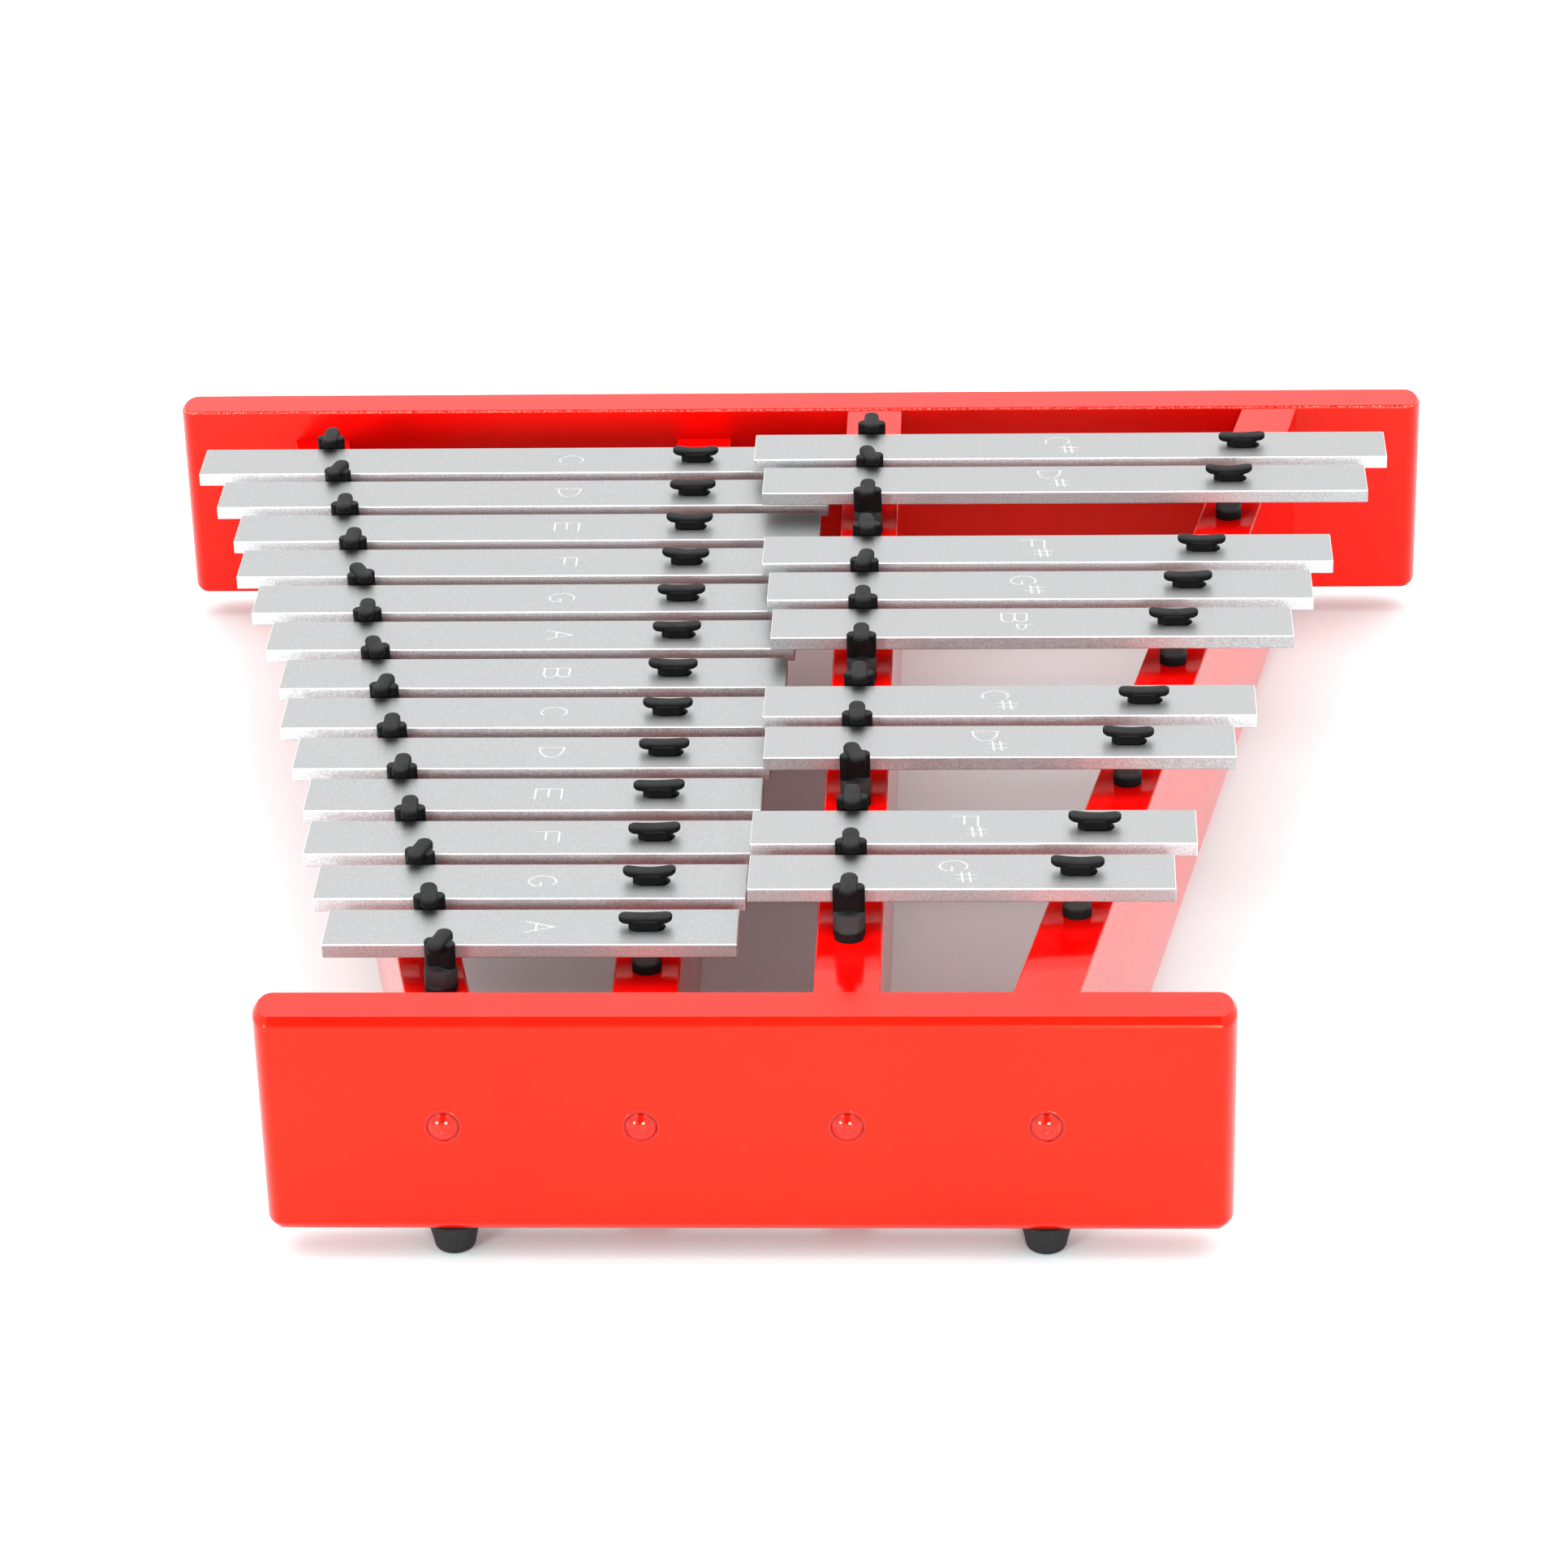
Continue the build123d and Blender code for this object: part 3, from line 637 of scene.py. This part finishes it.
CAP_R = 3.6 * MM
CAP_RISE = 1.8 * MM
CAP_SPOKES = 72
CAP_CREASE = 50
DOME_RINGS = 18
RIM_RINGS = ((0.08, 0.02), (0.25, 0.10), (0.42, 0.07), (0.7, -0.04))    # mm outside the dome, mm up
PAINT_RIDGE = range(DOME_RINGS + 1, DOME_RINGS + 4)
CREASE_SHADING = {16: 0.3, 17: 0.8, 18: 1.0, 19: 1.0, 20: 0.5, 21: 0.7}    # how dark the painted shade in the crease is, by ring, from the middle out
CHIP_SIZE = (0.30, 0.42)    # across and up; a chip fades out at 1.6 times this
RIDGE_WAVE = 0.035 * MM
CHIPS = {"small_panel_screw_caps": ((-0.15, -0.45), None, None, (0.15, -0.35)),
         "large_panel_screw_caps": (None, None, None, None)}    # chip in each cap, mm off its middle


def dome(outward, chip, chance):
    """A domed cap, painted over: a crease round it, tagged for painted shade, and a low, uneven ridge of
    paint outside that.
    """
    ball = (CAP_R**2 + CAP_RISE**2) / (2 * CAP_RISE)
    waves = [(k, chance.uniform(0, 6.28), chance.uniform(0.3, 1)) for k in (2, 3, 5, 8)]
    radii = [r / DOME_RINGS * CAP_R for r in range(DOME_RINGS + 1)]
    profile = [(r, math.sqrt(ball**2 - r**2) - (ball - CAP_RISE)) for r in radii]
    profile += [(CAP_R + out * MM, up * MM) for out, up in RIM_RINGS]
    profile += [(CAP_R * 0.8, -0.4 * MM), (0.0, -0.4 * MM)]
    rings, chips, crease_shades = [], [], []
    for k, (radius, rise) in enumerate(profile):
        ring = []
        for i in range(CAP_SPOKES):
            t = TURN * i / CAP_SPOKES
            lift = max(0.0, RIDGE_WAVE * ripple(waves, t)) if k in PAINT_RIDGE else 0.0
            r = max(radius, 1e-6)
            x, z = r * math.cos(t), r * math.sin(t)
            ring.append((x, outward * (rise + lift), z))
            mark = 0.0
            if chip and k <= DOME_RINGS:
                away = math.hypot((x - chip[0] * MM) / CHIP_SIZE[0],
                                  (z - chip[1] * MM) / CHIP_SIZE[1]) / MM
                mark = max(0.0, min(1.0, 1.6 - away))
            chips.append(mark)
            crease_shades.append(CREASE_SHADING.get(k, 0.0))
        rings.append(ring)
    return *ring_loft(rings), chips, crease_shades


for node, chips in CHIPS.items():
    low, high = corners_of(node)
    outward = -1 if node.startswith("small") else 1
    panel_low, panel_high = corners_of(node.replace("panel_screw_caps", "end_panel"))
    face_y = panel_low.y if outward < 0 else panel_high.y
    spots = [middle_of(part[:, X]) for part in split_at_gaps(points_of(node), X)]
    chance = random.Random(node)
    parts, marks, hollows = [], [], []
    for spot, chip in zip(spots, chips):
        verts, faces, cap_marks, cap_hollows = dome(outward, chip, chance)
        parts.append(([(x + spot, y + face_y, z + (low.z + high.z) / 2) for x, y, z in verts], faces))
        marks += cap_marks
        hollows += cap_hollows
    name = node + "_painted"
    mesh = mesh_from(parts, name)
    tag(mesh, "chip", marks)
    # where the painted shade in the crease goes
    tag(mesh, "crease", hollows)
    tag(mesh, "edge", [0.0] * len(marks))
    finish_piece(mesh, name, cap_paint, node, CAP_CREASE)

# ---------------------------------------------------------------- rubber feet

FOOT_SPOKES = 72
FOOT_TAPER = 1.3 * MM
FOOT_TOP_ROUND = 0.45 * MM
FOOT_LOW_ROUND = 1.2 * MM
FOOT_HOLLOW = 0.05 * MM    # the tapered side is hollowed by this
FOOT_BORE = 1.6 * MM
FOOT_RECESS = ((3.1, 0.0), (2.8, 0.15), (2.75, 3.5), (1.6, 3.6))    # radius and height, in mm
FOOT_CREASE = 45


def foot_profile(top_r, tall):
    """Radius and height of a foot's outside and screw recess, once round."""
    low_r = top_r - FOOT_TAPER
    profile = [(FOOT_BORE, tall), (top_r - 0.35 * MM, tall), (top_r - 0.08 * MM, tall - 0.12 * MM),
               (top_r, tall - FOOT_TOP_ROUND)]
    for i in range(1, 9):
        share = i / 9
        profile.append((top_r + (low_r - top_r) * share - FOOT_HOLLOW * math.sin(math.pi * share),
                        tall - FOOT_TOP_ROUND - (tall - FOOT_TOP_ROUND - FOOT_LOW_ROUND) * share))
    for i in range(9):
        t = math.pi / 2 * i / 8
        profile.append((low_r - FOOT_LOW_ROUND * (1 - math.cos(t)), FOOT_LOW_ROUND * (1 - math.sin(t))))
    return profile + [(r * MM, z * MM) for r, z in FOOT_RECESS]


for node in [n for n in nodes if n.startswith("foot_") and n.endswith(("left", "right"))]:
    low, high = corners_of(node)
    profile = foot_profile((high.x - low.x) / 2, high.z - low.z)
    verts = [(r * math.cos(TURN * i / FOOT_SPOKES) + (low.x + high.x) / 2,
              r * math.sin(TURN * i / FOOT_SPOKES) + (low.y + high.y) / 2, z + low.z)
             for r, z in profile for i in range(FOOT_SPOKES)]
    faces = [tuple(i % len(verts) for i in f) for f in walls(len(profile) + 1, FOOT_SPOKES)]
    name = node + "_moulded"
    finish_piece(mesh_from([(verts, faces)], name), name, foot_rubber, node, FOOT_CREASE)

# ---------------------------------------------------------------- rubber posts and pins, in mm

RIM = 2.5                  # height of the skirt's lower edge
SEAT = 7.1                 # height at which a bar lies
BAR_TOP = 10.6
FOOT_HALF_X = 3.7
FOOT_HALF_Y = 4.0
END_SLOPE = 0.3            # the foot's round ends climb steeply over this length
LIP = 2.85                 # how far from the nail the seat's lip reaches
GABLE, GABLE_HALF = 0.62, 3.3    # how far the seat falls to both sides, and over what length
LOBE, LOBE_HALF = 0.25, 3.0      # depth and width of the hollows in the skirt
CLIMB = 2.2                # exponent of the skirt's hollow curve
END_DROP = 0.25            # the rim is lower by this at the foot's ends
BLOCK = (7.36, 3.16)
BLOCK_TOP = BAR_TOP + 2.0
POST_HEAD = (3.95, 9.65)
POST_HEAD_LOW = BAR_TOP + 1.1
PIN_STEM = (7.9, 3.9)
PIN_HEAD_HALF = 6.08
PIN_TIP_FROM, PIN_TIP = 4.4, 1.72    # where the T head begins to round off, and over what length
PIN_HEAD_LOW = BAR_TOP + 1.2
PIN_HEAD_WIDE, PIN_HEAD_THICK = 1.78, 0.98    # half measures of the T head's section
SQUARISH = 0.6             # exponent that squares the T head's oval section


def rubber_foot():
    """A foot: a raised seat that gables to both sides, and a hollowed skirt down to a round rim."""
    straight = FOOT_HALF_Y - FOOT_HALF_X
    skirt = FOOT_HALF_Y - END_SLOPE - LIP
    stations_y = [-FOOT_HALF_Y + 0.02, -FOOT_HALF_Y + 0.12, -FOOT_HALF_Y + END_SLOPE]
    stations_y += [-FOOT_HALF_Y + END_SLOPE + skirt * i / 10 for i in range(1, 11)] + [-LIP + 0.12, -2.0]
    rings = []
    for y in stations_y + [-y for y in reversed(stations_y)]:
        out = max(0.0, abs(y) - straight)
        half = math.sqrt(max(0.0, FOOT_HALF_X**2 - min(out, FOOT_HALF_X - 0.005)**2))
        climb = max(0.0, min(1.0, (FOOT_HALF_Y - END_SLOPE - abs(y)) / skirt))
        ring = [(-half, y, 0.0), (half, y, 0.0)]
        for i in range(13):
            x = half * (1 - i / 6)
            gable = SEAT - GABLE * min(1.0, abs(x) / GABLE_HALF)
            low = RIM - (END_DROP if abs(y) > FOOT_HALF_Y - 0.2 else 0.0)
            lobe = LOBE * math.sin(math.pi * min(1.0, abs(x) / LOBE_HALF)) * climb * (1 - climb) * 4
            ring.append((x, y, low + (gable - low) * climb**CLIMB - lobe))
        rings.append(ring)
    return ring_loft(rings)


def post_shape(name, crown):
    """A post: foot, upright block and a head that lies across it, crowned by so many mm."""
    block = [stadium(*BLOCK, z) for z in (0.3, 6.0, 9.0, BLOCK_TOP)]
    block += [stadium(*BLOCK, BLOCK_TOP + up, inset=inset) for up, inset in ((0.25, 0.12), (0.42, 0.4))]
    head = [stadium(*POST_HEAD, POST_HEAD_LOW + up, inset=inset)
            for up, inset in ((0.0, 0.35), (0.35, 0.0), (1.6, 0.0), (2.1, 0.3),
                              (2.25 + crown * 0.5, 0.8), (2.32 + crown, 1.5))]
    return moulded([rubber_foot(), ring_loft(block), ring_loft(head)], name)


def pin_shape(name, sag, lean):
    """A pin: its T head is a flat bar whose ends lift by sag, and by lean more at the right end."""
    stem = [stadium(*PIN_STEM, z) for z in (SEAT - 0.5, SEAT + 1.0, PIN_HEAD_LOW + 0.9)]
    head = []
    for i in range(25):
        x = PIN_HEAD_HALF * math.sin(math.pi * (i / 24 - 0.5))
        over = max(0.0, abs(x) - PIN_TIP_FROM) / PIN_TIP
        shrink = math.sqrt(max(0.0, 1 - over**2)) * 0.92 + 0.08
        wide, thick = PIN_HEAD_WIDE * shrink, PIN_HEAD_THICK * (0.25 + 0.75 * shrink)
        middle = PIN_HEAD_LOW + PIN_HEAD_THICK + sag * (x / 6) ** 2 + lean * x / 6
        ring = []
        for k in range(16):
            c, s = math.cos(TURN * k / 16), math.sin(TURN * k / 16)
            ring.append((x, wide * math.copysign(abs(c) ** SQUARISH, c),
                         middle + thick * math.copysign(abs(s) ** SQUARISH, s)))
        head.append(ring)
    return moulded([rubber_foot(), ring_loft(stem), ring_loft(head)], name)


def stations(node):
    """Foot centre, rail height and the head's farthest point from it, for each copy in a group."""
    found = []
    for part in split_at_gaps(points_of(node), Y):
        low = part[part[:, Z] < part[:, Z].min() + 0.2 * MM]
        x, y = middle_of(low[:, X]), middle_of(low[:, Y])
        top = part[part[:, Z] > part[:, Z].max() - 1.5 * MM][:, :2] - (x, y)
        found.append((x, y, part[:, Z].min(), top[np.argmax(np.hypot(*top.T))]))
    return found


chance = random.Random(7)
posts = [post_shape("post_a", 0.05), post_shape("post_b", 0.16)]
pins = [pin_shape("pin_a", 0.8, 0.0), pin_shape("pin_b", 0.35, 0.08), pin_shape("pin_c", 0.6, -0.12)]
for group in ("natural_posts", "sharp_posts", "natural_pins", "sharp_pins"):
    is_post = group.endswith("posts")
    copies = []
    for x, y, z, far in stations(group):
        turn = -math.atan2(far[X], far[Y]) if is_post else 0.0
        if abs(turn) > math.pi / 2:
            turn -= math.copysign(math.pi, turn)
        shape = chance.choice(posts if is_post else pins)
        tilt = Matrix.Rotation(math.radians(chance.uniform(-1.0, 1.0)), 4, "Y")
        turned = Matrix.Translation((x, y, z)) @ Matrix.Rotation(turn, 4, "Z") @ tilt
        copies.append((shape, turned @ Matrix.Scale(MM, 4)))
    name = group + "_moulded"
    finish_piece(gather(copies, name), name, rubber[group.split("_")[0]], group)

# ---------------------------------------------------------------- floor, lights, camera

FLOOR_HALF = 8
FLOOR_TINTS = ((0.75, 0.875, 0.88), (0.77, 0.895, 0.90))
ALL_ROUND, OVERHEAD = 1.5, 3.3    # strength of the white surroundings
OVERHEAD_FROM = (0.66, 0.85)      # heights on the unit sphere between which they brighten
CARD_HALF = (0.24, 0.38)          # the dark card in front of the object: where it ends in |X|,
CARD_LOW = (0.16, 0.28)           # where it begins in Z
CARD_FRONT = (-0.22, -0.10)       # and where it ends in Y
CARD_DIM = 0.05
SOFTBOX_AIM = (0, 0, 0.05)
SOFTBOX_SIZE, SOFTBOX_POWER = 0.40, 14
CAMERA_AT = (0.06153, -1.13194, 0.64207)
CAMERA_PITCH, CAMERA_YAW, CAMERA_ROLL = 28.355, 3.016, 1.574    # degrees
CAMERA_LENS, CAMERA_SENSOR = 117.43, 36                         # mm

corners = [(-FLOOR_HALF, -FLOOR_HALF, 0), (FLOOR_HALF, -FLOOR_HALF, 0),
           (FLOOR_HALF, FLOOR_HALF, 0), (-FLOOR_HALF, FLOOR_HALF, 0)]
floor = add_object(mesh_from([(corners, [(0, 1, 2, 3)])], "floor"), "floor")
floor_mat, floor_tree, floor_shader = material(
    "pale_floor", {"Roughness": 0.7, "Specular IOR Level": 0.15})
tint = noise(floor_tree, place(floor_tree), 3, 2)
floor_tree.links.new(blend_colour(floor_tree, tint, *FLOOR_TINTS), floor_shader.inputs["Base Color"])
dress(floor, floor_mat)
floor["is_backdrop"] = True

world = bpy.data.worlds.new("studio")
world.use_nodes = True
sky = world.node_tree
towards = components(sky, sky.nodes.new("ShaderNodeTexCoord").outputs["Generated"])
sideways = calculate(sky, "ABSOLUTE", towards["X"])
above_and_ahead = times(sky, spread(sky, towards["Z"], *CARD_LOW),
                        spread(sky, towards["Y"], *CARD_FRONT, 1, 0))
card = times(sky, spread(sky, sideways, *CARD_HALF, 1, 0), above_and_ahead)
overhead = spread(sky, towards["Z"], *OVERHEAD_FROM, ALL_ROUND, OVERHEAD)
background = sky.nodes["Background"].inputs
background["Color"].default_value = (1, 1, 1, 1)
sky.links.new(times(sky, overhead, spread(sky, card, 0, 1, 1, CARD_DIM)), background["Strength"])
bpy.context.scene.world = world


def softbox(name, at):
    light = bpy.data.lights.new(name, "AREA")
    light.shape = "SQUARE"
    light.size = SOFTBOX_SIZE
    light.energy = SOFTBOX_POWER
    lamp = bpy.data.objects.new(name, light)
    lamp.location = at
    lamp.rotation_euler = (Vector(SOFTBOX_AIM) - Vector(at)).to_track_quat("-Z", "Y").to_euler()
    bpy.context.scene.collection.objects.link(lamp)


softbox("front_left", (-1.04, -1.40, 0.42))
softbox("front_right", (0.42, -1.70, 0.50))

camera_data = bpy.data.cameras.new("camera")
camera_data.sensor_width = CAMERA_SENSOR
camera_data.lens = CAMERA_LENS
camera = bpy.data.objects.new("camera", camera_data)
pitch, yaw, roll = (math.radians(angle) for angle in (CAMERA_PITCH, CAMERA_YAW, CAMERA_ROLL))
aim = Matrix.Rotation(yaw, 4, "Z") @ Matrix.Rotation(-pitch, 4, "X") @ Matrix.Rotation(roll, 4, "Y")
camera.matrix_world = Matrix.Translation(CAMERA_AT) @ aim @ Matrix.Rotation(math.pi / 2, 4, "X")
bpy.context.scene.collection.objects.link(camera)
bpy.context.scene.camera = camera
bpy.context.scene.view_settings.view_transform = "Standard"

low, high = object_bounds()
